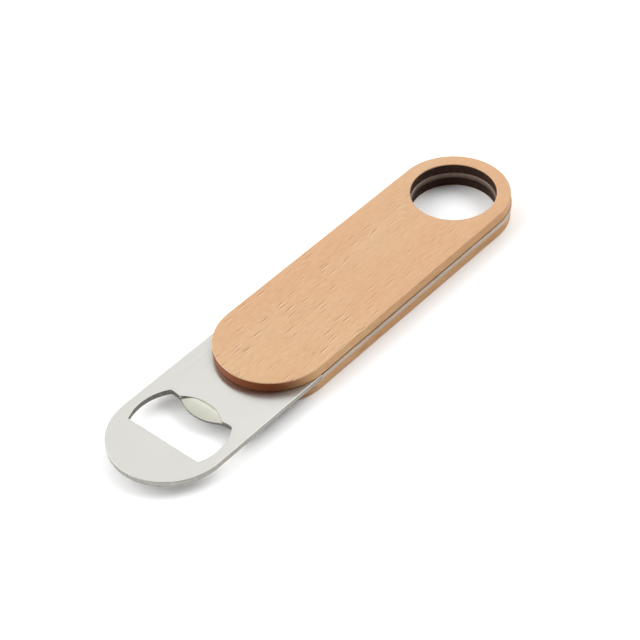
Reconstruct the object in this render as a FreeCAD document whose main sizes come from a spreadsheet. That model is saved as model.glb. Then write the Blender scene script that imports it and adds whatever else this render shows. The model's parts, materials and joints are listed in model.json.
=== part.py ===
# Bar-blade bottle opener.
#
# A flat stainless steel blade is bonded between two thin beech scales that make its
# handle. The blade runs the whole length: at one end it carries the mouth that takes a
# crown cap, with a coined tooth, and at the other end all the layers share a large ring
# hole for a finger or a hook. Nothing on it moves, and no rivet or screw goes through it.
#
# Frame: +X runs along the handle, from the opener's tip to the ring end. +Z is up, out
# of the upper scale. The origin is below the middle of the blade, on the surface that
# the lower scale lies on. All sizes are in millimetres.

import FreeCAD, Part
import math
import os
import Sketcher

# Driving dimensions: alias, value, what it is.
SIZES = (
    ("blade_length", 182.5, "steel, from its tip to its ring end"),
    ("blade_thickness", 2.0, "steel sheet"),
    ("blade_proud", 0.28, "steel beyond the scales, all round the handle"),
    ("edge_break", 0.2, "radius that tumbling leaves on the steel's outline"),
    ("scale_length", 133.4, "each beech scale, over its round ends"),
    ("scale_width", 40.0, "each beech scale"),
    ("scale_thickness", 3.6, "each beech scale"),
    ("scale_arris", 0.35, "radius sanded on the outer edges of a scale"),
    ("film_thickness", 0.15, "adhesive between a scale and the steel"),
    ("film_recess", 0.3, "adhesive back from the edges of the scale"),
    ("ring_inset", 19.75, "centre of the ring hole from the scales' end"),
    ("ring_radius", 15.0, "ring hole in the scales"),
    ("ring_lip", 0.2, "steel standing into the ring hole"),
    ("mouth_inset", 24.05, "centre of the mouth's round sides from the tip"),
    ("mouth_radius", 16.55, "round sides of the mouth"),
    ("bar_reach", 7.1, "from that centre to the straight edge that bears on the cap"),
    ("bar_corner", 0.5, "corner radius at the ends of that edge"),
    ("back_reach", 10.25, "from that centre to the back edge of the mouth"),
    ("back_corner", 0.8, "corner radius at the ends of the back edge"),
    ("back_run", 1.38, "straight back edge left at each side of the tooth"),
    ("tooth_reach", 2.9, "tooth beyond the back edge"),
    ("lip_share", 0.607, "share of the tooth's curve that is its bulging lip"),
    ("coin_depth", 1.16, "coined hollow at the lip of the tooth"),
    ("coin_floor_beyond", 2.6, "hollow's floor runs out this far behind the back edge"),
    ("coin_rim_beyond", 2.75, "middle of the hollow's rim, behind the back edge"),
    ("coin_side", 3.18, "tooth left uncoined at each side, along the back edge"),
)

# Places along X and radii that follow from the driving dimensions: alias, formula.
PLACES = (
    ("tip_at", "-blade_length / 2"),
    ("scale_end_at", "blade_length / 2 - blade_proud"),
    ("ring_at", "scale_end_at - ring_inset"),
    ("blade_radius", "scale_width / 2 + blade_proud"),
    ("scale_radius", "scale_width / 2"),
    ("film_radius", "scale_width / 2 - film_recess"),
    ("blade_end_centre_at", "blade_length / 2 - blade_radius"),
    ("blade_span", "2 * blade_end_centre_at"),
    ("scale_span", "scale_length - scale_width"),
    ("ring_end_centre_at", "scale_end_at - scale_radius"),
    ("blade_ring_radius", "ring_radius - ring_lip"),
    ("film_ring_radius", "ring_radius + film_recess"),
    ("mouth_at", "tip_at + mouth_inset"),
    ("bar_at", "mouth_at - bar_reach"),
    ("back_at", "mouth_at + back_reach"),
    ("bar_half", "sqrt(mouth_radius ^ 2 - bar_reach ^ 2)"),
    ("back_half", "sqrt(mouth_radius ^ 2 - back_reach ^ 2)"),
    ("tooth_half", "back_half - back_run"),
    ("tooth_curve", "(tooth_half ^ 2 + tooth_reach ^ 2) / (2 * tooth_reach)"),
    ("lip_radius", "tooth_curve * lip_share"),
    ("flank_radius", "tooth_curve - lip_radius"),
    ("flank_at", "back_at - flank_radius"),
    ("lip_at", "back_at - tooth_reach"),
    ("lip_centre_at", "lip_at + lip_radius"),
    ("punch_width", "2 * tooth_half"),
    ("punch_height", "2 * blade_thickness"),
    ("coin_rim_half", "tooth_half - coin_side"),
    ("coin_rim_radius", "(coin_rim_half ^ 2 + coin_rim_beyond ^ 2) / (2 * coin_rim_beyond)"),
    ("coin_rim_at", "back_at + coin_rim_beyond - coin_rim_radius"),
    ("coin_floor_reach", "tooth_reach + coin_floor_beyond"),
    ("coin_floor_radius", "(coin_floor_reach ^ 2 + coin_depth ^ 2) / (2 * coin_depth)"),
    ("coin_floor_height", "blade_thickness - coin_depth + coin_floor_radius"),
    ("blade_base", "scale_thickness + film_thickness"),
    ("upper_film_base", "blade_base + blade_thickness"),
    ("upper_scale_base", "upper_film_base + film_thickness"),
)

# Numbers by which a sketch names the ends and the centre of an edge, and its own X axis.
START, END, CENTRE = 1, 2, 3
X_AXIS = -1

doc = FreeCAD.newDocument("bar_blade_opener")


def make_sheet():
    """Puts the driving dimensions and the places in cells, each under its alias."""
    new_sheet = doc.addObject("Spreadsheet::Sheet", "Sizes")
    for row, (alias, number, meaning) in enumerate(SIZES, start=1):
        new_sheet.set(f"A{row}", meaning)
        new_sheet.set(f"B{row}", str(number))
        new_sheet.setAlias(f"B{row}", alias)
    for row, (alias, formula) in enumerate(PLACES, start=len(SIZES) + 2):
        new_sheet.set(f"B{row}", "=" + formula)
        new_sheet.setAlias(f"B{row}", alias)
    doc.recompute()
    return new_sheet


sheet = make_sheet()


def bind(target, **expressions):
    """Binds each property of the target to a formula in the sheet's aliases."""
    for name, alias in expressions.items():
        target.setExpression(name, "Sizes." + alias)


def lift(target, alias):
    """Raises a whole piece to the height that the alias holds."""
    target.setExpression("Placement.Base.z", "Sizes." + alias)


def new_sketch(body, name):
    """An empty sketch on the body's own XY plane."""
    sketch = body.newObject("Sketcher::SketchObject", name)
    plane = next(f for f in body.Origin.OriginFeatures if f.Role == "XY_Plane")
    sketch.AttachmentSupport = [(plane, "")]
    sketch.MapMode = "FlatFace"
    return sketch


def dimension(sketch, alias, kind, *where):
    """Adds a named dimension to a sketch, and binds it to the alias."""
    index = sketch.addConstraint(Sketcher.Constraint(kind, *where, sheet.get(alias)))
    name = f"{alias}_{index}"
    sketch.renameConstraint(index, name)
    sketch.setExpression("Constraints." + name, "Sizes." + alias)


def constrain(sketch, kind, *pairs):
    """Adds one constraint of the kind for each group of edges and points."""
    for pair in pairs:
        sketch.addConstraint(Sketcher.Constraint(kind, *pair))


def point(along, across):
    """A point of a sketch."""
    return FreeCAD.Vector(along, across, 0)


def arc(along, across, radius, start, end):
    """An anticlockwise arc about a centre, between two angles in radians."""
    circle = Part.Circle(point(along, across), FreeCAD.Vector(0, 0, 1), radius)
    return Part.ArcOfCircle(circle, start, end)


def draw_bar(sketch, centre, span, radius):
    """A bar with round ends on the X axis: centre of its right end, span of centres, radius."""
    right, reach, half = (sheet.get(alias) for alias in (centre, span, radius))
    left = right - reach
    sketch.addGeometry(
        [
            arc(right, 0, half, -math.pi / 2, math.pi / 2),
            Part.LineSegment(point(right, half), point(left, half)),
            arc(left, 0, half, math.pi / 2, 3 * math.pi / 2),
            Part.LineSegment(point(left, -half), point(right, -half)),
        ],
        False,
    )
    right_end, top, left_end, bottom = range(4)
    constrain(
        sketch,
        "Tangent",
        (right_end, END, top, START),
        (top, END, left_end, START),
        (left_end, END, bottom, START),
        (bottom, END, right_end, START),
    )
    constrain(sketch, "PointOnObject", (right_end, CENTRE, X_AXIS), (left_end, CENTRE, X_AXIS))
    constrain(sketch, "Equal", (right_end, left_end))
    dimension(sketch, radius, "Radius", right_end)
    dimension(sketch, centre, "DistanceX", right_end, CENTRE)
    dimension(sketch, span, "DistanceX", left_end, CENTRE, right_end, CENTRE)


def draw_circle(sketch, centre, radius):
    """A circle with its centre on the X axis."""
    place = point(sheet.get(centre), 0)
    up = FreeCAD.Vector(0, 0, 1)
    circle = sketch.addGeometry(Part.Circle(place, up, sheet.get(radius)), False)
    constrain(sketch, "PointOnObject", (circle, CENTRE, X_AXIS))
    dimension(sketch, radius, "Radius", circle)
    dimension(sketch, centre, "DistanceX", circle, CENTRE)


def pad(body, name, sketch, thickness):
    """Gives a closed sketch its thickness, upwards."""
    feature = body.newObject("PartDesign::Pad", name)
    feature.Profile = sketch
    bind(feature, Length=thickness)
    doc.recompute()
    return feature


def pocket(body, name, sketch):
    """Cuts a closed sketch right through what stands on its plane."""
    before = body.Shape.Volume
    feature = body.newObject("PartDesign::Pocket", name)
    feature.Profile = sketch
    feature.Type = "ThroughAll"
    feature.Reversed = True
    doc.recompute()
    if body.Shape.Volume >= before:
        raise RuntimeError(name + " cut nothing")
    return feature


def fillet(body, name, base, radius, wanted):
    """Rounds the base feature's edges that the test wants."""
    found = [f"Edge{i}" for i, edge in enumerate(base.Shape.Edges, start=1) if wanted(edge)]
    feature = body.newObject("PartDesign::Fillet", name)
    feature.Base = (base, found)
    bind(feature, Radius=radius)
    doc.recompute()
    return feature


def is_flat(edge):
    """True for an edge that lies level, in a face of the sheet or board."""
    return edge.BoundBox.ZLength < 1e-6


def is_at(edge, height):
    """True for a level edge at that height."""
    return is_flat(edge) and abs(edge.BoundBox.ZMin - height) < 1e-6


def is_outline(edge):
    """True for a level edge that runs on into others, which a whole circle doesn't."""
    return is_flat(edge) and len(edge.Vertexes) > 1


def is_upright_near(edge, along):
    """True for an upright edge whose place along X is the one given."""
    return not is_flat(edge) and abs(edge.BoundBox.XMin - along) < 1e-6


def make_scale(label, base):
    """One beech scale, outer face up, with a sanded arris round that face and the ring."""
    body = doc.addObject("PartDesign::Body", label)
    outline = new_sketch(body, label + "_outline")
    draw_bar(outline, "ring_end_centre_at", "scale_span", "scale_radius")
    draw_circle(outline, "ring_at", "ring_radius")
    board = pad(body, label + "_board", outline, "scale_thickness")
    outer_face = sheet.get("scale_thickness")
    fillet(body, label + "_arris", board, "scale_arris", lambda edge: is_at(edge, outer_face))
    lift(body, base)
    return body


def make_lower_scale():
    """The same scale turned over, so that its sanded face is the one that it lies on."""
    body = make_scale("lower_scale", "scale_thickness")
    body.Placement.Rotation = FreeCAD.Rotation(FreeCAD.Vector(1, 0, 0), 180)
    return body


def make_film(label, base):
    """One adhesive film, a little smaller than the scale that it holds."""
    body = doc.addObject("PartDesign::Body", label)
    outline = new_sketch(body, label + "_outline")
    draw_bar(outline, "ring_end_centre_at", "scale_span", "film_radius")
    draw_circle(outline, "ring_at", "film_ring_radius")
    pad(body, label + "_layer", outline, "film_thickness")
    lift(body, base)
    return body


def draw_mouth(sketch):
    """The cap mouth: bearing bar, round sides, back edge and the tooth that bulges from it.

    Each half of the tooth is an S of two arcs, a bulging lip and a hollow flank."""
    centre, radius = sheet.get("mouth_at"), sheet.get("mouth_radius")
    bar, bar_half = sheet.get("bar_at"), sheet.get("bar_half")
    back, back_half = sheet.get("back_at"), sheet.get("back_half")
    lip_centre, lip = sheet.get("lip_centre_at"), sheet.get("lip_radius")
    flank_at, flank = sheet.get("flank_at"), sheet.get("flank_radius")
    tooth_half = sheet.get("tooth_half")
    bar_angle = math.atan2(bar_half, bar - centre)
    back_angle = math.atan2(back_half, back - centre)
    turn = math.atan2(tooth_half, lip_centre - flank_at)
    sketch.addGeometry(
        [
            Part.LineSegment(point(bar, -bar_half), point(bar, bar_half)),
            arc(centre, 0, radius, back_angle, bar_angle),
            Part.LineSegment(point(back, back_half), point(back, tooth_half)),
            arc(flank_at, tooth_half, flank, -turn, 0),
            arc(lip_centre, 0, lip, math.pi - turn, math.pi + turn),
            arc(flank_at, -tooth_half, flank, 0, turn),
            Part.LineSegment(point(back, -tooth_half), point(back, -back_half)),
            arc(centre, 0, radius, -bar_angle, -back_angle),
        ],
        False,
    )
    bearing, far_side, far_back, far_flank, tooth_lip, near_flank, near_back, near_side = range(8)
    constrain(
        sketch,
        "Coincident",
        (bearing, END, far_side, END),
        (far_side, START, far_back, START),
        (near_back, END, near_side, END),
        (near_side, START, bearing, START),
        (near_side, CENTRE, far_side, CENTRE),
    )
    constrain(
        sketch,
        "Tangent",
        (far_back, END, far_flank, END),
        (far_flank, START, tooth_lip, START),
        (tooth_lip, END, near_flank, END),
        (near_flank, START, near_back, START),
    )
    constrain(sketch, "PointOnObject", (far_side, CENTRE, X_AXIS), (tooth_lip, CENTRE, X_AXIS))
    constrain(sketch, "Vertical", (bearing,), (far_back,), (near_back,))
    constrain(sketch, "Equal", (far_side, near_side), (far_flank, near_flank))
    dimension(sketch, "mouth_radius", "Radius", far_side)
    dimension(sketch, "flank_radius", "Radius", far_flank)
    dimension(sketch, "lip_radius", "Radius", tooth_lip)
    dimension(sketch, "mouth_at", "DistanceX", far_side, CENTRE)
    dimension(sketch, "lip_centre_at", "DistanceX", tooth_lip, CENTRE)
    dimension(sketch, "bar_at", "DistanceX", bearing, START)
    dimension(sketch, "back_at", "DistanceX", far_back, START)
    dimension(sketch, "back_at", "DistanceX", near_back, END)


def make_blade_blank():
    """The blade as it leaves the press and the tumbler, before its tooth is coined."""
    body = doc.addObject("PartDesign::Body", "blade_blank")
    outline = new_sketch(body, "blade_outline")
    draw_bar(outline, "blade_end_centre_at", "blade_span", "blade_radius")
    draw_circle(outline, "ring_at", "blade_ring_radius")
    plate = pad(body, "blade_plate", outline, "blade_thickness")
    fillet(body, "blade_edge_break", plate, "edge_break", is_outline)
    mouth = new_sketch(body, "mouth_outline")
    draw_mouth(mouth)
    opening = pocket(body, "mouth_opening", mouth)
    for name, radius, place in (("bar", "bar_corner", "bar_at"), ("back", "back_corner", "back_at")):
        along = sheet.get(place)
        opening = fillet(
            body,
            name + "_corners",
            opening,
            radius,
            lambda edge, along=along: is_upright_near(edge, along),
        )
    return body


def make_coining_punch():
    """What the coining punch sinks into the tooth: a roll across it, bounded by a round rim."""
    roll = doc.addObject("Part::Cylinder", "punch_roll")
    bind(roll, Radius="coin_floor_radius", Height="punch_width")
    roll.Placement.Rotation = FreeCAD.Rotation(FreeCAD.Vector(1, 0, 0), 90)
    roll.setExpression("Placement.Base.x", "Sizes.lip_at")
    roll.setExpression("Placement.Base.y", "Sizes.tooth_half")
    roll.setExpression("Placement.Base.z", "Sizes.coin_floor_height")
    rim = doc.addObject("Part::Cylinder", "punch_rim")
    bind(rim, Radius="coin_rim_radius", Height="punch_height")
    rim.setExpression("Placement.Base.x", "Sizes.coin_rim_at")
    punch = doc.addObject("Part::Common", "coining_punch")
    punch.Base = roll
    punch.Tool = rim
    return punch


def make_blade():
    """The finished blade: the blank with the coined hollow in the top of its tooth."""
    blade = doc.addObject("Part::Cut", "steel_blade")
    blade.Base = make_blade_blank()
    blade.Tool = make_coining_punch()
    lift(blade, "blade_base")
    return blade


def check(pieces):
    """Stops before anything is written if an object failed or a piece isn't a sound solid."""
    doc.recompute()
    failed = [o.Label for o in doc.Objects if {"Invalid", "Error"} & set(o.State)]
    unsound = [p.Label for p in pieces if p.Shape.isNull() or not p.Shape.isValid()]
    if failed or unsound:
        raise RuntimeError(f"failed objects {failed}, unsound pieces {unsound}")


def write(pieces):
    """Writes each piece to a STEP file with its own name."""
    os.makedirs("parts", exist_ok=True)
    for piece in pieces:
        piece.Shape.exportStep(f"parts/{piece.Label}.step")
        box = piece.Shape.optimalBoundingBox()
        size = f"{box.XLength:.2f} x {box.YLength:.2f} x {box.ZLength:.2f}"
        print(f"{piece.Label}: {size} mm, from z {box.ZMin:.2f}, {piece.Shape.Volume:.0f} mm3")


pieces = [
    make_lower_scale(),
    make_film("lower_adhesive_film", "scale_thickness"),
    make_blade(),
    make_film("upper_adhesive_film", "upper_film_base"),
    make_scale("upper_scale", "upper_scale_base"),
]
check(pieces)
write(pieces)
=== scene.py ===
# %% [markdown]
# # A bar-blade bottle opener
# This lesson finishes a flat bottle opener: a stainless steel blade held between two thin
# beech scales. Its sizes were settled in CAD, so the first cell loads that model as a fixed
# frame. Every piece is then built again around the frame with finer edges and a real finish,
# and each one takes its place from the CAD piece that it stands for.

# %% Load the frame
import json
import math

import bmesh
import bpy
from mathutils import Matrix, Vector, noise


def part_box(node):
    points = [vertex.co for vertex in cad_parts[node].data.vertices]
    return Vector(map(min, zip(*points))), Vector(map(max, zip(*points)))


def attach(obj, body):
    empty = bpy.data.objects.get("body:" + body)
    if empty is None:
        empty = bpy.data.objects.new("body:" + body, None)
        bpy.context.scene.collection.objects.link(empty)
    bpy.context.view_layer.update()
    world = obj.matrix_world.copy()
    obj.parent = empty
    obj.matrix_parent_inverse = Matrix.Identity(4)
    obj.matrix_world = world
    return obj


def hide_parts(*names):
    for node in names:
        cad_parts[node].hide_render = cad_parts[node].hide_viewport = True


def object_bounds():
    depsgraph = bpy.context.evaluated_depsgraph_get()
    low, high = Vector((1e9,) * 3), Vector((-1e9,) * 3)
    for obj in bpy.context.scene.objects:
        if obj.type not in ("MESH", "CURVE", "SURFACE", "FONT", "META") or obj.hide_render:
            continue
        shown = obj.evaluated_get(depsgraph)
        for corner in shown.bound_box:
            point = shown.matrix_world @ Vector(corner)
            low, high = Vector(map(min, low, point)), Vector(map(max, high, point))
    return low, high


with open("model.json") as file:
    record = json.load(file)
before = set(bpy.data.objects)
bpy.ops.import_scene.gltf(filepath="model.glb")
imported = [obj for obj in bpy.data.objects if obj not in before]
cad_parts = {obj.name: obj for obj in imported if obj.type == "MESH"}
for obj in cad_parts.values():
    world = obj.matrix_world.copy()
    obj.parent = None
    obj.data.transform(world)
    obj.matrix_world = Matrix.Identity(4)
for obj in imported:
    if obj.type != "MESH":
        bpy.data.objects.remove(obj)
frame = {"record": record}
cad_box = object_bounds()
print("CAD box, in metres:", [tuple(corner) for corner in cad_box])

# %% [markdown]
# ## Sizes
# A bar blade is laid out like a sheet metal part, as distances from its tip and its ring
# end. The outer sizes are read from the frame, so they can't drift from the CAD model. Only
# what a box can't tell, such as the shape of the cap mouth, is written here, in millimetres.

# %% Sizes
MM = 0.001

blade_low, blade_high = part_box("steel_blade")
scale_low, scale_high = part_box("upper_scale")
ring_mount = next(m for m in frame["record"]["mounts"] if m["name"] == "ring_hole")
RING_AT = ring_mount["pos_m"][0]
BLADE_RING_RADIUS = ring_mount["dims"]["r_mm"] * MM

RING_LIP = 0.2 * MM  # steel standing into the ring hole
RING_RADIUS = BLADE_RING_RADIUS + RING_LIP
FILM_RECESS = 0.3 * MM  # adhesive back from the edge of the wood
EDGE_BREAK = 0.16 * MM  # radius that tumbling leaves on the steel
SCALE_ARRIS = 0.28 * MM  # radius sanded on the outer edges of the wood
INNER_ARRIS = 0.1 * MM  # what a sheet of sandpaper leaves on its glued side

TIP_AT = blade_low.x
MOUTH_AT = TIP_AT + 24.05 * MM
MOUTH_RADIUS = 16.55 * MM
BAR_AT = MOUTH_AT - 7.1 * MM  # the straight edge that bears on the cap
BAR_CORNER = 0.5 * MM
BACK_AT = MOUTH_AT + 10.25 * MM
BACK_CORNER = 0.8 * MM
BACK_RUN = 1.38 * MM  # straight back edge left at each side of the tooth
TOOTH_REACH = 2.9 * MM
LIP_SHARE = 0.607  # share of the tooth's curve that is its bulging lip
COIN_DEPTH = 1.16 * MM
COIN_FLOOR_BEYOND = 2.6 * MM  # the hollow's floor runs out this far behind the back edge
COIN_RIM_BEYOND = 2.75 * MM  # and its rim this far
COIN_SIDE = 3.18 * MM  # tooth left uncoined at each side, along the back edge

print(f"blade {(blade_high.x - blade_low.x) / MM:.1f} mm long, ring hole at {RING_AT / MM:.2f} mm")

# %% [markdown]
# ## The camera
# A catalogue view of a flat tool is taken with a long lens from well above, so that its
# sides stay nearly parallel. A Track To constraint could aim the camera at an empty, but
# angles round the opener and a distance from the table are easier to read and to repeat, and
# they are how one would set up a real camera on a stand.

# %% Camera
# Angles are in degrees and the lens is in millimetres, as Blender shows them.
CAMERA_AZIMUTH = -46.88
CAMERA_ELEVATION = 43.213
CAMERA_ROLL = -3.478
CAMERA_DISTANCE = 651.8 * MM
CAMERA_TARGET = Vector((0.94 * MM, 1.05 * MM, 0.0))
CAMERA_LENS = 110.88
NEAREST_SEEN = 50 * MM


def direction(azimuth, elevation):
    """A unit vector, from its angle round the opener and its angle above the table."""
    turn, rise = math.radians(azimuth), math.radians(elevation)
    level = math.cos(rise)
    return Vector((math.sin(turn) * level, -math.cos(turn) * level, math.sin(rise)))


def add_camera():
    """A long lens that looks at the target from the angles above."""
    back = direction(CAMERA_AZIMUTH, CAMERA_ELEVATION)
    turned = Matrix.Rotation(math.radians(CAMERA_ROLL), 4, back)
    camera = bpy.data.objects.new("camera", bpy.data.cameras.new("camera"))
    camera.matrix_world = (
        Matrix.Translation(CAMERA_TARGET + back * CAMERA_DISTANCE)
        @ turned
        @ back.to_track_quat("Z", "Y").to_matrix().to_4x4()
    )
    camera.data.lens = CAMERA_LENS
    camera.data.clip_start = NEAREST_SEEN
    bpy.context.scene.collection.objects.link(camera)
    bpy.context.scene.camera = camera
    return back


view_back = add_camera()
print("the camera looks back along", tuple(round(part, 3) for part in view_back))

# %% [markdown]
# ## Tools for the finishes
# A material is a small graph of nodes. One helper adds any kind of node. It sets the node's
# properties and inputs, links an input when it is given another node's output, and hands
# back the new node's outputs for the next one. Colours are written the way a paint chart
# gives them, as sRGB hex values, and the shaders want linear light.

# %% Node and colour tools


def linear(hex_colour):
    """A colour such as #DEB58E as linear red, green, blue and alpha."""
    parts = [int(hex_colour[i : i + 2], 16) / 255 for i in (1, 3, 5)]
    return [p / 12.92 if p <= 0.04045 else ((p + 0.055) / 1.055) ** 2.4 for p in parts] + [1.0]


def add(tree, kind, inputs=None, **settings):
    """Adds a node, sets its properties, sets or links its inputs, and gives its outputs."""
    node = tree.nodes.new("ShaderNode" + kind)
    for name, setting in settings.items():
        setattr(node, name, setting)
    for name, given in (inputs or {}).items():
        if isinstance(given, bpy.types.NodeSocket):
            tree.links.new(given, node.inputs[name])
        else:
            node.inputs[name].default_value = given
    return node.outputs


def new_material(name):
    """An empty material and its node tree."""
    material = bpy.data.materials.new(name)
    material.use_nodes = True
    material.node_tree.nodes.clear()
    return material, material.node_tree


# The colour sockets of a Mix node, which has one set of sockets for each kind of data.
MIX_A, MIX_B, MIX_OUT = 6, 7, 2

# %% [markdown]
# ## Light and floor
# Small metal things are lit by big soft sources, because the metal shows whatever stands
# round it. Three of them do most of the work in a dark studio: a broad one low on the left,
# one half-way up on the right and a weak, even panel behind. The blade mirrors only that
# panel, so it looks pale and flat. The side of the camera stays dark but for a grey card, so
# the edges that face it fall off gently, and a dim ceiling opens up the shadows. A panorama
# of a real studio could light the scene too, but soft spots on a dark world can each be moved
# and dimmed. The floor is a plain white board, overexposed as it is in a catalogue, which
# leaves only a soft shadow close round the opener.

# %% Light and floor
FILL = 0.03  # brightness of the dark surround
# Each source: azimuth, elevation, brightness, and the angles from its middle at which it
# starts to fade and has faded.
SOURCES = {
    "left_softbox": (221.0, 14.0, 4.4, 17.0, 57.0),
    "right_softbox": (65.5, 40.0, 4.85, 12.0, 31.0),
    "back_panel": (133.0, 45.0, 1.31, 25.0, 49.5),
    "front_card": (10.0, 10.0, 0.3, 15.0, 45.0),
    "ceiling": (0.0, 90.0, 0.22, 15.0, 42.0),
}
FLOOR_HALF = 30.0  # metres, so that no low view sees past its edge
FLOOR_GAP = 0.02 * MM  # keeps the board clear of the face that lies on it


def light_the_studio():
    """A nearly dark surround with a soft-edged source at each place in the table."""
    world = bpy.data.worlds.new("studio")
    bpy.context.scene.world = world
    world.use_nodes = True
    tree = world.node_tree
    tree.nodes.clear()
    ray = add(tree, "TexCoord")["Generated"]
    total = FILL
    for azimuth, elevation, brightness, inner, outer in SOURCES.values():
        toward = {0: ray, 1: direction(azimuth, elevation)}
        facing = add(tree, "VectorMath", toward, operation="DOT_PRODUCT")["Value"]
        fade = {
            "Value": facing,
            "From Min": math.cos(math.radians(outer)),
            "From Max": math.cos(math.radians(inner)),
            "To Max": brightness,
        }
        glow = add(tree, "MapRange", fade, interpolation_type="SMOOTHSTEP")["Result"]
        total = add(tree, "Math", {0: glow, 1: total}, operation="ADD")["Value"]
    sky = add(tree, "Background", {"Color": linear("#FFFFFF"), "Strength": total})
    add(tree, "OutputWorld", {"Surface": sky["Background"]})


def lay_the_floor():
    """A plain white board under the opener."""
    bm = bmesh.new()
    bmesh.ops.create_grid(bm, x_segments=1, y_segments=1, size=FLOOR_HALF)
    bmesh.ops.translate(bm, verts=bm.verts, vec=(0, 0, cad_box[0].z - FLOOR_GAP))
    mesh = bpy.data.meshes.new("floor")
    bm.to_mesh(mesh)
    bm.free()
    floor = bpy.data.objects.new("floor", mesh)
    bpy.context.scene.collection.objects.link(floor)
    material, tree = new_material("white_board")
    paint = {"Base Color": linear("#FBFBFB"), "Roughness": 0.8, "Specular IOR Level": 0.1}
    shader = add(tree, "BsdfPrincipled", paint)
    add(tree, "OutputMaterial", {"Surface": shader["BSDF"]})
    mesh.materials.append(material)


bpy.context.scene.view_settings.view_transform = "Standard"
light_the_studio()
lay_the_floor()
print("sources:", ", ".join(SOURCES))
print(f"floor: a board {2 * FLOOR_HALF:.0f} m wide")

# %% [markdown]
# ## Beech
# Steamed beech is a pale pinkish brown, sanded and lightly oiled. Its grain is straight and
# quiet. What gives it away is hundreds of short dark flecks, a few millimetres long and a
# few tenths wide, which are its rays cut end on. An image of wood would have a seam at every
# edge, so a Voronoi pattern stretched along the grain makes them: each cell can hold one
# spindle, and only some cells do. Smaller cells make the fine pores between the flecks. The
# same spindles moved over by their own width, and pale, give each fleck a lit side, as a
# hollow in the surface has.

# %% The flecks of the beech
# A spindle fills half of its cell, so a fleck is about 4 mm long and 0.3 mm wide. The pores
# are drawn several times too coarse, because real ones, 0.06 mm wide, wouldn't show.
FLECK_CELL = Vector((7.8, 0.64, 1.2)) * MM
PORE_CELL = Vector((3.2, 0.5, 0.9)) * MM
IN_PLACE = Vector((0.0, 0.0, 0.0))
BESIDE = Vector((0.0, 0.36, 0.0)) * MM
# How far from its middle a spindle starts and is full, in cells.
SPINDLE_EDGE, SPINDLE_CORE = 0.32, 0.2
# Flecks differ in strength. The weakest and the full ones, in parts of the share asked for.
WEAKEST, STRONGEST = 1.3, 0.5


def per(cell):
    """The scale that gives a pattern of unit size that cell size in metres."""
    return Vector([1 / side for side in cell])


def flecks(tree, point, cell, share, moved):
    """Spindles along the grain, from 0 to 1, in about that share of the cells."""
    scale = per(cell)
    place = add(tree, "Mapping", {"Vector": point, "Scale": scale, "Location": moved * scale})
    cells = add(tree, "TexVoronoi", {"Vector": place["Vector"], "Scale": 1.0})
    luck = add(tree, "SeparateColor", {"Color": cells["Color"]})["Red"]
    limits = {"From Min": 1 - WEAKEST * share, "From Max": 1 - STRONGEST * share}
    chosen = add(tree, "MapRange", {"Value": luck, **limits})["Result"]
    limits = {"From Min": SPINDLE_EDGE, "From Max": SPINDLE_CORE}
    spindle = add(tree, "MapRange", {"Value": cells["Distance"], **limits})["Result"]
    return add(tree, "Math", {0: chosen, 1: spindle}, operation="MULTIPLY")["Value"]


print(f"a fleck is about {FLECK_CELL.x * (SPINDLE_EDGE + SPINDLE_CORE) / MM:.0f} mm long")

# %% [markdown]
# ## The tone of the beech
# Under the flecks, three things change the tone: fine fibres, faint bands from one season's
# growth to the next, and a slow drift. All are noise stretched along the grain, and a slow
# noise bends the grain a little, so that no line is ruler straight. The pattern is solid, so
# it runs on round every edge. Where a wall turns across the grain at the round end by the
# mouth, its open pores drink the oil and it turns a deep orange brown. That colour also paints
# the shade on that end, which faces away from the lights. The round end by the ring is left pale.

# %% The tone of the beech
FIBRE = Vector((3.0, 0.45, 0.45)) * MM  # bundles, as single fibres are too fine to show
BAND = Vector((110.0, 4.5, 4.5)) * MM
GRAIN_LAYERS = ((BAND, 0.08), (FIBRE, 0.22))  # each with its strength
# Noise keeps near its middle value, so these limits stretch it over more of its range.
NOISE_RANGE = {"From Min": 0.35, "From Max": 0.65}
SHADE_RANGE = {"From Min": 0.3, "From Max": 0.7, "To Min": 0.25, "To Max": 0.75}
GRAIN_DETAIL = 3.0
# The flecks come and go in patches, and they thin out towards the ring end.
PATCHES = {"From Min": 0.3, "From Max": 0.55, "To Min": 0.4}
THINNING = {"From Min": 75 * MM, "From Max": -5 * MM, "To Min": 0.25}
# Each layer of flecks: its cell, the share of cells that hold one, how far it is moved, its
# colour and its strength. The dark flecks come last and dent the surface.
FLECK_LAYERS = (
    (PORE_CELL, 0.4, IN_PLACE, "#7E5434", 0.4),
    (FLECK_CELL, 0.48, BESIDE, "#EBD3B2", 0.45),
    (FLECK_CELL, 0.48, IN_PLACE, "#6A3F24", 0.95),
)


def grain_tone(tree, point, drift, pale, warm):
    """The tone under the flecks, and the fine lines of its fibres."""
    share = add(tree, "MapRange", {"Value": drift, **NOISE_RANGE})["Result"]
    tones = {"Factor": share, MIX_A: linear(pale), MIX_B: linear(warm)}
    tone = add(tree, "Mix", tones, data_type="RGBA")[MIX_OUT]
    for cell, strength in GRAIN_LAYERS:
        stretch = add(tree, "Mapping", {"Vector": point, "Scale": per(cell)})["Vector"]
        streaks = {"Vector": stretch, "Scale": 1.0, "Detail": GRAIN_DETAIL}
        lines = add(tree, "TexNoise", streaks)["Fac"]
        shade = add(tree, "MapRange", {"Value": lines, **SHADE_RANGE})["Result"]
        shades = {"Factor": strength, MIX_A: tone, MIX_B: shade}
        tone = add(tree, "Mix", shades, data_type="RGBA", blend_type="SOFT_LIGHT")[MIX_OUT]
    return tone, lines


def fleck_figure(tree, along, patches):
    """How strongly the flecks show, from 0 to 1."""
    patch = add(tree, "MapRange", {"Value": patches, **PATCHES})["Result"]
    toward_ring = add(tree, "MapRange", {"Value": along, **THINNING})["Result"]
    return add(tree, "Math", {0: patch, 1: toward_ring}, operation="MULTIPLY")["Value"]


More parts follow.
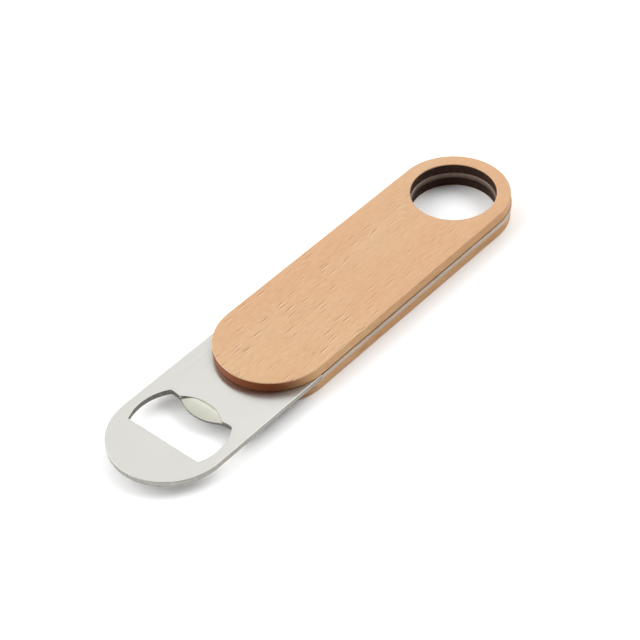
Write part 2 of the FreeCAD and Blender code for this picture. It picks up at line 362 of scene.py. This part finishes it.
def flecked(tree, tone, point, figure, fleck_amount):
    """The tone with its layers of flecks, and the dark marks of the last one."""
    for cell, share, moved, colour, strength in FLECK_LAYERS:
        marks = flecks(tree, point, cell, share, moved)
        dark = add(tree, "Math", {0: marks, 1: figure}, operation="MULTIPLY")["Value"]
        amount = {0: dark, 1: strength * fleck_amount}
        weight = add(tree, "Math", amount, operation="MULTIPLY")["Value"]
        tones = {"Factor": weight, MIX_A: tone, MIX_B: linear(colour)}
        tone = add(tree, "Mix", tones, data_type="RGBA")[MIX_OUT]
    return tone, dark


print(f"{len(GRAIN_LAYERS)} layers of grain and {len(FLECK_LAYERS)} of flecks")

# %% [markdown]
# Tone and flecks come together in one material, whose grain is bent first. The same lines
# and flecks that colour the wood also dent it a little, so that they catch the light. Three
# surfaces of this wood were cut in three ways, so one function makes all three finishes.

# %% Beech
DRIFT = Vector((55.0, 20.0, 20.0)) * MM
GRAIN_WANDER = Vector((0.0, 3.0, 3.0)) * MM
FLECK_DEPTH = 0.03 * MM
DENT_STRENGTH = 0.5
BEECH_ROUGHNESS = 0.55
# Where the wall of the scales' round end by the mouth starts to cross the grain, and where it
# has done so. Its darkening is partly end grain and partly painted shade.
GRAIN_TURNS = scale_low.x + scale_high.y
END_GRAIN_AND_SHADE = {"From Min": GRAIN_TURNS - 2 * MM, "From Max": GRAIN_TURNS - 16 * MM}


def make_beech(name, pale, warm, end_grain_and_shade, sheen, fleck_amount):
    """Beech with a surface that was cut and finished in one way."""
    material, tree = new_material(name)
    point = add(tree, "TexCoord")["Object"]
    along = add(tree, "SeparateXYZ", {"Vector": point})["X"]
    slow = add(tree, "Mapping", {"Vector": point, "Scale": per(DRIFT)})["Vector"]
    wander = add(tree, "TexNoise", {"Vector": slow, "Scale": 1.0})["Color"]
    drift = add(tree, "SeparateColor", {"Color": wander})
    bend = {0: wander, 1: GRAIN_WANDER, 2: point}
    bent = add(tree, "VectorMath", bend, operation="MULTIPLY_ADD")["Vector"]

    tone, lines = grain_tone(tree, bent, drift["Red"], pale, warm)
    figure = fleck_figure(tree, along, drift["Green"])
    tone, dark = flecked(tree, tone, bent, figure, fleck_amount)
    if end_grain_and_shade:
        # Darkens the round end by the mouth: partly end grain, partly painted shade.
        turned = {"Value": along, **END_GRAIN_AND_SHADE}
        end_grain_and_shade_share = add(tree, "MapRange", turned, interpolation_type="SMOOTHSTEP")["Result"]
        tones = {"Factor": end_grain_and_shade_share, MIX_A: tone, MIX_B: linear(end_grain_and_shade)}
        tone = add(tree, "Mix", tones, data_type="RGBA")[MIX_OUT]

    height = add(tree, "Math", {0: lines, 1: dark}, operation="SUBTRACT")["Value"]
    dents = {"Height": height, "Strength": DENT_STRENGTH, "Distance": FLECK_DEPTH}
    bump = add(tree, "Bump", dents)["Normal"]
    wood = {"Base Color": tone, "Roughness": BEECH_ROUGHNESS, "Normal": bump}
    wood["Specular IOR Level"] = sheen
    shader = add(tree, "BsdfPrincipled", wood)
    add(tree, "OutputMaterial", {"Surface": shader["BSDF"]})
    return material


# Planed and sanded faces: pale, matt, with all their flecks. The tones are darker than beech
# is in daylight, to leave room for the overexposed light.
beech_sanded = make_beech("beech_sanded", "#B89571", "#B8906C", None, 0.35, 0.8)
# Routed outer walls: the cut closes the wood a little and leaves it browner. Their tone is
# also lighter than the faces', which paints light onto the walls, and the last colour darkens
# the round end by the mouth, partly as end grain and partly as painted shade.
beech_routed_and_painted_light = make_beech("beech_routed_and_painted_light", "#C49A6C", "#BF9164", "#733A17", 0.25, 0.5)
# The ring hole was cut hot, so its wall is charred nearly black.
beech_charred = make_beech("beech_charred", "#3C2419", "#2C1A10", None, 0.12, 0.4)
print("beech:", beech_sanded.name, beech_routed_and_painted_light.name, beech_charred.name)

# %% [markdown]
# ## Stainless steel
# The blade is blanked from stainless sheet. Its faces carry a fine satin brush along the
# length, too fine to see as lines from here, so it shows as an even sheen that spreads
# across the marks. Real grooves would need millions of faces, so the shader's anisotropy does
# their work. The tumbled outline is duller. The punched walls of the mouth are darker, with
# fine tears. The coined hollow is pressed smooth. One function makes them all, because they
# are one metal: only the marks, the tone and the painted shade differ.

# %% Stainless steel
# Real brush marks are a few hundredths of a millimetre wide, and real tears a tenth. Neither
# would show from here, so both are drawn several times coarser.
BRUSH = Vector((30.0, 0.2, 0.2)) * MM
TEAR = Vector((0.35, 0.35, 4.0)) * MM
MOTTLE = Vector((16.0, 11.0, 11.0)) * MM  # the sheet's own slow change of tone
SUM_RANGE = {"From Min": 0.7, "From Max": 1.3}  # the range of two noises added together
WEAR_RANGE = {"From Min": 0.3, "From Max": 0.7}
MARK_STRENGTH = 0.3
BRUSH_MAP = "across_brush"  # the blade's UV map, whose first axis runs across the brush marks


def make_steel(name, light, dark, cell, roughness, spread, bump_height, painted_shade=None, brushed=0.0):
    """Stainless steel whose marks have that cell size, and the roughness that they give.

    Where it is brushed, light spreads across the brush marks more than along them.
    """
    material, tree = new_material(name)
    point = add(tree, "TexCoord")["Object"]
    noises = []
    for size in (cell, MOTTLE):
        place = add(tree, "Mapping", {"Vector": point, "Scale": per(size)})["Vector"]
        noises.append(add(tree, "TexNoise", {"Vector": place, "Scale": 1.0})["Fac"])
    both = add(tree, "Math", {0: noises[0], 1: noises[1]}, operation="ADD")["Value"]
    share = add(tree, "MapRange", {"Value": both, **SUM_RANGE})["Result"]
    tones = {"Factor": share, MIX_A: linear(light), MIX_B: linear(dark)}
    tone = add(tree, "Mix", tones, data_type="RGBA")[MIX_OUT]
    if painted_shade:
        # Painted shade: darker towards the bottom of the blade.
        height = add(tree, "SeparateXYZ", {"Vector": point})["Z"]
        limits = {"From Min": blade_high.z, "From Max": blade_low.z}
        depth = add(tree, "MapRange", {"Value": height, **limits})["Result"]
        tones = {"Factor": depth, MIX_A: tone, MIX_B: linear(painted_shade)}
        tone = add(tree, "Mix", tones, data_type="RGBA")[MIX_OUT]
    wear = {"Value": noises[0], "To Min": roughness - spread, "To Max": roughness + spread}
    rough = add(tree, "MapRange", wear | WEAR_RANGE)["Result"]
    marks = {"Height": noises[0], "Strength": MARK_STRENGTH, "Distance": bump_height}
    bump = add(tree, "Bump", marks)["Normal"]
    steel = {"Base Color": tone, "Metallic": 1.0, "Roughness": rough, "Normal": bump}
    if brushed:
        across = add(tree, "Tangent", direction_type="UV_MAP", uv_map=BRUSH_MAP)["Tangent"]
        steel |= {"Anisotropic": brushed, "Tangent": across}
    shader = add(tree, "BsdfPrincipled", steel)
    add(tree, "OutputMaterial", {"Surface": shader["BSDF"]})
    return material


# A satin face, which still mirrors what stands right beside it, such as the wood.
steel_brushed = make_steel(
    "stainless_brushed", "#C1C0BC", "#BDBCB6", BRUSH, 0.25, 0.01, 0.0003 * MM, brushed=0.9
)
# The outline, tumbled after blanking, which leaves it dull and grey.
steel_tumbled = make_steel(
    "stainless_tumbled", "#ABA8A2", "#99958F", TEAR, 0.38, 0.06, 0.01 * MM
)
# Along the handle the same edge was sanded with the wood, and pale dust is rubbed into it.
steel_sanded = make_steel(
    "stainless_sanded", "#C6B6A7", "#B1A294", TEAR, 0.38, 0.06, 0.01 * MM
)
# The punched walls, dark with fine tears.
steel_blanked = make_steel(
    "stainless_blanked", "#8E8B84", "#65625B", TEAR, 0.45, 0.08, 0.03 * MM
)
# The hollow, pressed smooth by the face of the punch.
steel_coined = make_steel(
    "stainless_coined", "#BBB9AE", "#ADADA1", MOTTLE, 0.3, 0.04, 0.01 * MM
)
# Painted reflection and shade: in the ring hole the brown grey stands for the charred wood
# mirrored in the steel, and it darkens towards the bottom, deeper in the hole's shade. The
# same colour paints the shade on the fine ledge and the edges beside the wood along the handle.
steel_painted_shade = make_steel(
    "stainless_painted_shade", "#978579", "#6E6056", TEAR, 0.55, 0.05, 0.02 * MM, painted_shade="#65564C"
)
print("steel faces:", steel_brushed.name, steel_coined.name)
print("steel edges:", steel_tumbled.name, steel_sanded.name, steel_blanked.name)
print("steel in the ring and the ledge:", steel_painted_shade.name)

# %% [markdown]
# ## Adhesive
# The scales are bonded with a contact adhesive that cures to a dull brown film. Only its
# edge shows, as a fine dark line set back under the wood, so a matt brown with a little
# mottling is enough.

# %% Adhesive
LUMP = Vector((1.5, 1.5, 1.5)) * MM


def make_adhesive():
    """Cured contact adhesive, dull and slightly uneven."""
    material, tree = new_material("contact_adhesive")
    point = add(tree, "TexCoord")["Object"]
    place = add(tree, "Mapping", {"Vector": point, "Scale": per(LUMP)})["Vector"]
    lumps = add(tree, "TexNoise", {"Vector": place, "Scale": 1.0})["Fac"]
    tones = {"Factor": lumps, MIX_A: linear("#2A1D14"), MIX_B: linear("#45321F")}
    tone = add(tree, "Mix", tones, data_type="RGBA")[MIX_OUT]
    shader = add(tree, "BsdfPrincipled", {"Base Color": tone, "Roughness": 0.7})
    add(tree, "OutputMaterial", {"Surface": shader["BSDF"]})
    return material


adhesive = make_adhesive()
print("adhesive:", adhesive.name)

# %% [markdown]
# ## Drawing with a point
# Every piece of this opener is a flat outline given a thickness, so the first modelling
# tools are a draughtsman's. A point is put down, then run straight or swept round a centre,
# and the bmesh operators extrude and spin leave the edges behind it. A circle is one sweep
# all the way round. Curve objects could draw the same outlines, but they would have to be
# turned into meshes before anything else could be done with them.

# %% Outline tools
STEP_ANGLE = math.radians(1.5)
FEWEST_STEPS = 4
FULL_TURN = 2 * math.pi
JOIN_DISTANCE = 0.0005 * MM


def begin(bm, along, across, height):
    """Puts down the first point of an outline."""
    return bmesh.ops.create_vert(bm, co=(along, across, height))["vert"][0]


def run_to(bm, pen, along, across):
    """Runs straight to a place at the same height."""
    end = bmesh.ops.extrude_vert_indiv(bm, verts=[pen])["verts"][0]
    end.co = (along, across, pen.co.z)
    return end


def sweep(bm, pen, centre, angle):
    """Sweeps round a centre, given along and across, and leaves an arc."""
    swept = bmesh.ops.spin(
        bm,
        geom=[pen],
        cent=(centre[0], centre[1], pen.co.z),
        axis=(0, 0, 1),
        angle=angle,
        steps=max(FEWEST_STEPS, math.ceil(abs(angle) / STEP_ANGLE)),
        use_merge=abs(angle) >= FULL_TURN,
    )
    return swept["geom_last"][0]


def draw_bar(bm, low, high, radius, height):
    """A bar with round ends that reaches from low to high along X."""
    left, right = low + radius, high - radius
    pen = begin(bm, right, -radius, height)
    pen = sweep(bm, pen, (right, 0), math.pi)
    pen = run_to(bm, pen, left, radius)
    pen = sweep(bm, pen, (left, 0), math.pi)
    run_to(bm, pen, right, -radius)


def draw_ring(bm, radius, height):
    """The ring hole."""
    pen = begin(bm, RING_AT, -radius, height)
    sweep(bm, pen, (RING_AT, 0), FULL_TURN)


def drawn(bm, draw, *sizes):
    """Draws a closed loop with one of the tools and returns its edges."""
    before = set(bm.verts)
    draw(bm, *sizes)
    new = [vert for vert in bm.verts if vert not in before]
    bmesh.ops.remove_doubles(bm, verts=new, dist=JOIN_DISTANCE)
    return list({edge for vert in bm.verts if vert not in before for edge in vert.link_edges})


print(f"a full circle has {round(FULL_TURN / STEP_ANGLE)} edges")

# %% [markdown]
# ## From outline to plate
# Raising the edges of an outline gives a wall, and filling the loops at its top and bottom
# closes it. Real edges are never sharp, and an edge without a radius catches no light. A
# Bevel modifier would round every edge alike, even the foot of the hollow, so instead the
# flat faces are inset a little at a time, each step rising less than the last, which walks
# round a quarter circle.

# %% Plate tools
ROUND_STEPS = 4


def raised(bm, edges, height):
    """Extrudes edges upwards into a wall and returns the wall's upper edges."""
    made = bmesh.ops.extrude_edge_only(bm, edges=edges)["geom"]
    tops = {item for item in made if isinstance(item, bmesh.types.BMVert)}
    bmesh.ops.translate(bm, verts=list(tops), vec=(0, 0, height))
    upper = [item for item in made if isinstance(item, bmesh.types.BMEdge)]
    return [edge for edge in upper if tops.issuperset(edge.verts)]


def filled(bm, edges):
    """Fills flat loops of edges, holes and all, and returns the faces."""
    made = bmesh.ops.triangle_fill(bm, edges=edges, use_beauty=True, use_dissolve=False)
    return [item for item in made["geom"] if isinstance(item, bmesh.types.BMFace)]


def rounded(bm, faces, radius):
    """Rounds the border of a flat face outwards by a quarter circle of that radius."""
    for step in range(ROUND_STEPS):
        low, high = (math.pi / 2 * turn / ROUND_STEPS for turn in (step, step + 1))
        bmesh.ops.inset_region(
            bm,
            faces=faces,
            thickness=radius * (math.cos(low) - math.cos(high)),
            depth=radius * (math.sin(high) - math.sin(low)),
            use_boundary=True,
            use_even_offset=True,
        )


print(f"each rounded edge has {ROUND_STEPS} faces across it")

# %% [markdown]
# ## From mesh to piece
# The same steps finish every piece. Each face gets the finish that its place calls for, the
# shading is smooth except across sharp edges, and the normals lean towards the large faces,
# which keeps flat metal flat.

# %% Finishing a piece
SHARP_ANGLE = math.radians(50)
FLAT_NORMAL = 0.95  # a face is flat if its normal points up or down by this much


def is_near(face, along, radius):
    """True if the middle of a face lies that near to a centre on the X axis."""
    middle = face.calc_center_median()
    return math.hypot(middle.x - along, middle.y) < radius


def finish_piece(bm, name, materials, choose, node):
    """Turns a bmesh into a finished piece that rides on the body and stands for its node."""
    mesh = bpy.data.meshes.new(name)
    for material in materials:
        mesh.materials.append(material)
    for face in bm.faces:
        face.smooth = True
        face.material_index = materials.index(choose(face))
    for edge in bm.edges:
        edge.smooth = len(edge.link_faces) == 2 and edge.calc_face_angle() < SHARP_ANGLE
    bm.to_mesh(mesh)
    bm.free()
    piece = bpy.data.objects.new(name, mesh)
    bpy.context.scene.collection.objects.link(piece)
    weighted = piece.modifiers.new("face_weighted_normals", "WEIGHTED_NORMAL")
    weighted.keep_sharp = True
    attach(piece, "root")
    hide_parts(node)
    print(f"{name}: {len(mesh.vertices)} points, {len(mesh.polygons)} faces")


print(f"edges sharper than {math.degrees(SHARP_ANGLE):.0f} degrees stay sharp")

# %% [markdown]
# ## The beech scales
# A scale is a thin bar with round ends and the ring hole near one of them. Both are the same
# part, with the sanded edge on the outside. The second could be a mirror of the first, but a
# mirror turns faces inside out, so one function makes either: it is told which of its faces
# is the outer one. Faces, outer wall and ring wall were each cut differently, and each takes
# its own finish.

# %% Beech scales
SANDED_ABOVE = cad_box[1].z - SCALE_ARRIS
SANDED_BELOW = cad_box[0].z + SCALE_ARRIS


def beech_finish(face):
    """The finish that the way a face was cut has left on it, with painted light on the outer wall.
    """
    height = face.calc_center_median().z
    if abs(face.normal.z) > FLAT_NORMAL or not SANDED_BELOW < height < SANDED_ABOVE:
        return beech_sanded
    if is_near(face, RING_AT, RING_RADIUS + INNER_ARRIS):
        return beech_charred
    return beech_routed_and_painted_light


def make_scale(name, node, outer_up):
    """One beech scale in the place of its CAD node."""
    low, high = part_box(node)
    floor_arris, top_arris = INNER_ARRIS, SCALE_ARRIS
    if not outer_up:
        floor_arris, top_arris = SCALE_ARRIS, INNER_ARRIS
    bm = bmesh.new()
    base = low.z + floor_arris
    outline = drawn(bm, draw_bar, low.x, high.x, high.y, base)
    outline += drawn(bm, draw_ring, RING_RADIUS, base)
    rim = raised(bm, outline, high.z - top_arris - base)
    under, over = filled(bm, outline), filled(bm, rim)
    bmesh.ops.recalc_face_normals(bm, faces=bm.faces)
    rounded(bm, under, floor_arris)
    rounded(bm, over, top_arris)
    materials = [beech_sanded, beech_routed_and_painted_light, beech_charred]
    finish_piece(bm, name, materials, beech_finish, node)


make_scale("beech_scale_upper", "upper_scale", True)
make_scale("beech_scale_lower", "lower_scale", False)

# %% [markdown]
# ## The adhesive films
# The glue line stops a little short of the wood's edge and isn't perfectly even, because
# adhesive creeps as the scales are pressed on. A plain plate would look ruled, so the film's
# outline is nudged in and out by a smooth noise.

# %% Adhesive films
CREEP = 0.12 * MM  # how far the outline wanders
CREEP_LENGTH = 7.0 * MM  # and over what length


def make_film(name, node):
    """One adhesive film in the place of its CAD node."""
    low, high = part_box(node)
    bm = bmesh.new()
    outline = drawn(bm, draw_bar, low.x + CREEP, high.x - CREEP, high.y - CREEP, low.z)
    outline += drawn(bm, draw_ring, RING_RADIUS + FILM_RECESS, low.z)
    for vert in bm.verts:
        nudge = CREEP * noise.noise(vert.co / CREEP_LENGTH)
        vert.co += vert.co.normalized() * nudge
    rim = raised(bm, outline, high.z - low.z)
    filled(bm, outline)
    filled(bm, rim)
    bmesh.ops.recalc_face_normals(bm, faces=bm.faces)
    finish_piece(bm, name, [adhesive], lambda face: adhesive, node)


make_film("glue_line_upper", "upper_adhesive_film")
make_film("glue_line_lower", "lower_adhesive_film")

# %% [markdown]
# ## The blade
# The blade is one plate with three loops: its outline, the ring hole and the cap mouth. The
# mouth's tooth is the working part. Each half of it is an S of two arcs, a hollow flank that
# leaves the back edge square and the bulging lip that catches under the cap. On the upper
# side the tooth is coined thinner: a round rim steps down to a hollow floor that is deepest
# at the lip. A Boolean could cut all this from a plate, but it leaves slivers that shade
# badly, so the mouth is drawn, with a point where that rim will meet it.

# %% Mouth and tooth
BACK_HALF = math.sqrt(MOUTH_RADIUS**2 - (BACK_AT - MOUTH_AT) ** 2)
TOOTH_HALF = BACK_HALF - BACK_RUN
TOOTH_CURVE = (TOOTH_HALF**2 + TOOTH_REACH**2) / (2 * TOOTH_REACH)
LIP_RADIUS = TOOTH_CURVE * LIP_SHARE
FLANK_RADIUS = TOOTH_CURVE - LIP_RADIUS
FLANK_AT = BACK_AT - FLANK_RADIUS
LIP_AT = BACK_AT - TOOTH_REACH
LIP_CENTRE_AT = LIP_AT + LIP_RADIUS
TOOTH_TURN = math.atan2(TOOTH_HALF, LIP_CENTRE_AT - FLANK_AT)

RIM_HALF = TOOTH_HALF - COIN_SIDE
RIM_RADIUS = (RIM_HALF**2 + COIN_RIM_BEYOND**2) / (2 * COIN_RIM_BEYOND)
RIM_CENTRE_AT = BACK_AT + COIN_RIM_BEYOND - RIM_RADIUS
FLOOR_REACH = TOOTH_REACH + COIN_FLOOR_BEYOND
FLOOR_RADIUS = (FLOOR_REACH**2 + COIN_DEPTH**2) / (2 * COIN_DEPTH)


def rim_on_flank():
    """The angle, round the far flank's centre, at which the rim of the hollow crosses it."""
    across = Vector((RIM_CENTRE_AT - FLANK_AT, -TOOTH_HALF))
    reach = across.length
    opening = (reach**2 + FLANK_RADIUS**2 - RIM_RADIUS**2) / (2 * reach * FLANK_RADIUS)
    return math.atan2(across.y, across.x) + math.acos(opening)


CROSSING = rim_on_flank()
CROSSING_AT = Vector(
    (
        FLANK_AT + FLANK_RADIUS * math.cos(CROSSING),
        TOOTH_HALF + FLANK_RADIUS * math.sin(CROSSING),
    )
)


def corner(line_at, radius, inward):
    """Where a corner between a straight edge and the round side is centred, and its angle."""
    centre_at = line_at + inward * radius
    half = math.sqrt((MOUTH_RADIUS - radius) ** 2 - (centre_at - MOUTH_AT) ** 2)
    return centre_at, half, math.atan2(half, centre_at - MOUTH_AT)


def draw_mouth(bm, height):
    """The whole mouth, from where the rim of the hollow meets it and back to there."""
    back_at, back_half, back_angle = corner(BACK_AT, BACK_CORNER, -1)
    bar_at, bar_half, bar_angle = corner(BAR_AT, BAR_CORNER, 1)
    pen = begin(bm, CROSSING_AT.x, CROSSING_AT.y, height)
    pen = sweep(bm, pen, (FLANK_AT, TOOTH_HALF), -CROSSING)
    pen = run_to(bm, pen, BACK_AT, back_half)
    pen = sweep(bm, pen, (back_at, back_half), back_angle)
    pen = sweep(bm, pen, (MOUTH_AT, 0), bar_angle - back_angle)
    pen = sweep(bm, pen, (bar_at, bar_half), math.pi - bar_angle)
    pen = run_to(bm, pen, BAR_AT, -bar_half)
    pen = sweep(bm, pen, (bar_at, -bar_half), math.pi - bar_angle)
    pen = sweep(bm, pen, (MOUTH_AT, 0), bar_angle - back_angle)
    pen = sweep(bm, pen, (back_at, -back_half), back_angle)
    pen = run_to(bm, pen, BACK_AT, -TOOTH_HALF)
    pen = sweep(bm, pen, (FLANK_AT, -TOOTH_HALF), -CROSSING)
    pen = sweep(bm, pen, (FLANK_AT, -TOOTH_HALF), TOOTH_TURN + CROSSING)
    pen = sweep(bm, pen, (LIP_CENTRE_AT, 0), -2 * TOOTH_TURN)
    sweep(bm, pen, (FLANK_AT, TOOTH_HALF), TOOTH_TURN + CROSSING)


def draw_rim(bm, height):
    """The rim of the coined hollow, from its far end to its near one."""
    half_angle = math.atan2(CROSSING_AT.y, CROSSING_AT.x - RIM_CENTRE_AT)
    pen = begin(bm, CROSSING_AT.x, CROSSING_AT.y, height)
    sweep(bm, pen, (RIM_CENTRE_AT, 0), -2 * half_angle)


print(f"lip radius {LIP_RADIUS / MM:.1f} mm, rim radius {RIM_RADIUS / MM:.1f} mm")

# %% [markdown]
# ## The hollow of the tooth
# The walls go up in two lifts, with a ring of points at the level of the hollow, so that the
# lip's wall can stop there and the rim's wall can start there. The hollow's floor is then a
# single flat face. It is sliced across every few tenths of a millimetre, and each slice is
# dropped onto the curve of the punch. Its slices stay flat, as on a part of a cylinder.

# %% Hollow of the tooth
FLOOR_SLICES = 20
RIM_WALL = 0.01 * MM  # the least wall between the hollow's floor and the rounded edge
BLADE_BASE = blade_low.z + EDGE_BREAK
BLADE_SHOULDER = blade_high.z - EDGE_BREAK
HOLLOW_LEVEL = blade_high.z - COIN_DEPTH


def edges_at(bm, height):
    """The edges that lie at a height."""
    return [e for e in bm.edges if all(abs(v.co.z - height) < JOIN_DISTANCE for v in e.verts)]


def in_hollow(edge):
    """True for an edge that isn't outside the rim of the coined hollow."""
    reach = RIM_RADIUS + JOIN_DISTANCE
    return all(math.hypot(v.co.x - RIM_CENTRE_AT, v.co.y) < reach for v in edge.verts)


def hollow_height(along):
    """Height of the coined floor, which curves up from the lip like the side of a roll."""
    centre = HOLLOW_LEVEL + FLOOR_RADIUS
    floor = centre - math.sqrt(FLOOR_RADIUS**2 - max(0.0, along - LIP_AT) ** 2)
    return min(floor, BLADE_SHOULDER - RIM_WALL)


def press_hollow(bm, border):
    """Fills the hollow, slices it across and drops it onto the punch's curve."""
    floor = bmesh.ops.dissolve_faces(bm, faces=filled(bm, border))["region"]
    length = BACK_AT + COIN_RIM_BEYOND - LIP_AT
    for slice_number in range(1, FLOOR_SLICES):
        edges = list({edge for face in floor for edge in face.edges})
        verts = list({vert for face in floor for vert in face.verts})
        cut = bmesh.ops.bisect_plane(
            bm,
            geom=verts + edges + floor,
            plane_co=(LIP_AT + length * slice_number / FLOOR_SLICES, 0, 0),
            plane_no=(1, 0, 0),
            dist=JOIN_DISTANCE,
        )["geom"]
        floor = [item for item in cut if isinstance(item, bmesh.types.BMFace)]
    for vert in {vert for face in floor for vert in face.verts}:
        vert.co.z = hollow_height(vert.co.x)
    return floor


print(f"the lip is {(HOLLOW_LEVEL - blade_low.z) / MM:.2f} mm thick")

# %% [markdown]
# ## Where the blade's finish changes
# A finish can only change at an edge, so two sets of edges are added to the blade. The steel
# stands a little beyond the wood, and the fine ledge that this leaves is inset, because it is
# painted dark with the shade that falls under the wood. The long sides were sanded with the
# wood, and they are cut across where the scales' straight sides begin. The brushed faces also
# need to know which way the brush went, and a UV map tells them.

# %% Ledge, sides and brush direction
LEDGE = blade_high.y - EDGE_BREAK - scale_high.y


def mark_the_handle(bm, over):
    """Adds the edges at which the finish changes along the handle."""
    bmesh.ops.inset_region(
        bm, faces=over, thickness=LEDGE, use_boundary=True, use_even_offset=True
    )
    bmesh.ops.bisect_plane(
        bm,
        geom=bm.verts[:] + bm.edges[:] + bm.faces[:],
        plane_co=(GRAIN_TURNS, 0, 0),
        plane_no=(1, 0, 0),
        dist=JOIN_DISTANCE,
    )


def map_across_brush(bm):
    """Adds the UV map whose first axis runs across the brush marks."""
    across_brush = bm.loops.layers.uv.new(BRUSH_MAP)
    for face in bm.faces:
        for face_corner in face.loops:
            place = face_corner.vert.co
            face_corner[across_brush].uv = (place.y, place.x)


def on_ledge(place):
    """True along the handle, where the blade stands beyond the scales."""
    centre_at = min(place.x, scale_high.x - scale_high.y)
    return place.x > GRAIN_TURNS and math.hypot(place.x - centre_at, place.y) > scale_high.y


def on_rim(place):
    """True if a point lies on the rim of the hollow or on its rounded edge."""
    away = math.hypot(place.x - RIM_CENTRE_AT, place.y) - RIM_RADIUS
    on_its_circle = -INNER_ARRIS < away < EDGE_BREAK and place.x > BACK_AT - COIN_SIDE
    return on_its_circle and place.z > HOLLOW_LEVEL


print(f"the ledge is {LEDGE / MM:.2f} mm wide")

# %% [markdown]
# ## The blade put together
# The loops, the walls, the hollow and the rounded edges now come together. Each face then
# takes a finish by how it was made, or the shade painted on it, which its place and its
# direction tell. That is easier to keep right than a list of faces, which would change with
# every size.

# %% Build the blade
MOUTH_WALLS_WITHIN = MOUTH_RADIUS + 1 * MM  # from the mouth's centre


def shape_blade():
    """The blade's mesh in the place of its CAD node, its top faces and its hollow's."""
    bm = bmesh.new()
    loops = drawn(bm, draw_bar, blade_low.x, blade_high.x, blade_high.y, BLADE_BASE)
    loops += drawn(bm, draw_ring, BLADE_RING_RADIUS, BLADE_BASE)
    loops += drawn(bm, draw_mouth, BLADE_BASE)
    raised(bm, loops, HOLLOW_LEVEL - BLADE_BASE)
    draw_rim(bm, HOLLOW_LEVEL)
    bmesh.ops.remove_doubles(bm, verts=bm.verts, dist=JOIN_DISTANCE)
    border = [edge for edge in edges_at(bm, HOLLOW_LEVEL) if in_hollow(edge)]
    lip = {edge for edge in border if not edge.is_wire}
    rising = [edge for edge in edges_at(bm, HOLLOW_LEVEL) if edge not in lip]
    raised(bm, rising, BLADE_SHOULDER - HOLLOW_LEVEL)
    under = filled(bm, edges_at(bm, BLADE_BASE))
    over = filled(bm, edges_at(bm, BLADE_SHOULDER))
    hollow = press_hollow(bm, border)
    bmesh.ops.recalc_face_normals(bm, faces=bm.faces)
    rounded(bm, under, EDGE_BREAK)
    rounded(bm, over, EDGE_BREAK)
    return bm, over, set(hollow)


def steel_finish(face, hollow):
    """The finish that the way a face was made has left on it, or the shade painted on it."""
    middle = face.calc_center_median()
    if face in hollow:
        return steel_coined
    if on_rim(middle):
        # The rim's rounded edge takes the dark punched finish, which paints the shade of the step
        # as a dark line along the rim.
        return steel_blanked if middle.z > BLADE_SHOULDER else steel_coined
    # Painted reflection and shade on the steel in the ring hole.
    if is_near(face, RING_AT, RING_RADIUS) and len(face.verts) == 4:
        return steel_painted_shade
    if abs(face.normal.z) > FLAT_NORMAL and not on_ledge(middle):
        return steel_brushed
    # Along the handle, the ledge and the edges beside the wood take painted shade; the sanded side
    # between them does not.
    if middle.x > GRAIN_TURNS:
        return steel_sanded if BLADE_BASE < middle.z < BLADE_SHOULDER else steel_painted_shade
    if is_near(face, MOUTH_AT, MOUTH_WALLS_WITHIN):
        return steel_blanked
    return steel_tumbled


def make_blade():
    """The steel blade, with all its finishes."""
    bm, over, hollow = shape_blade()
    mark_the_handle(bm, over)
    map_across_brush(bm)
    outside = [steel_brushed, steel_tumbled, steel_sanded, steel_painted_shade]
    materials = outside + [steel_blanked, steel_coined]

    def choose(face):
        return steel_finish(face, hollow)

    finish_piece(bm, "blade", materials, choose, "steel_blade")


make_blade()
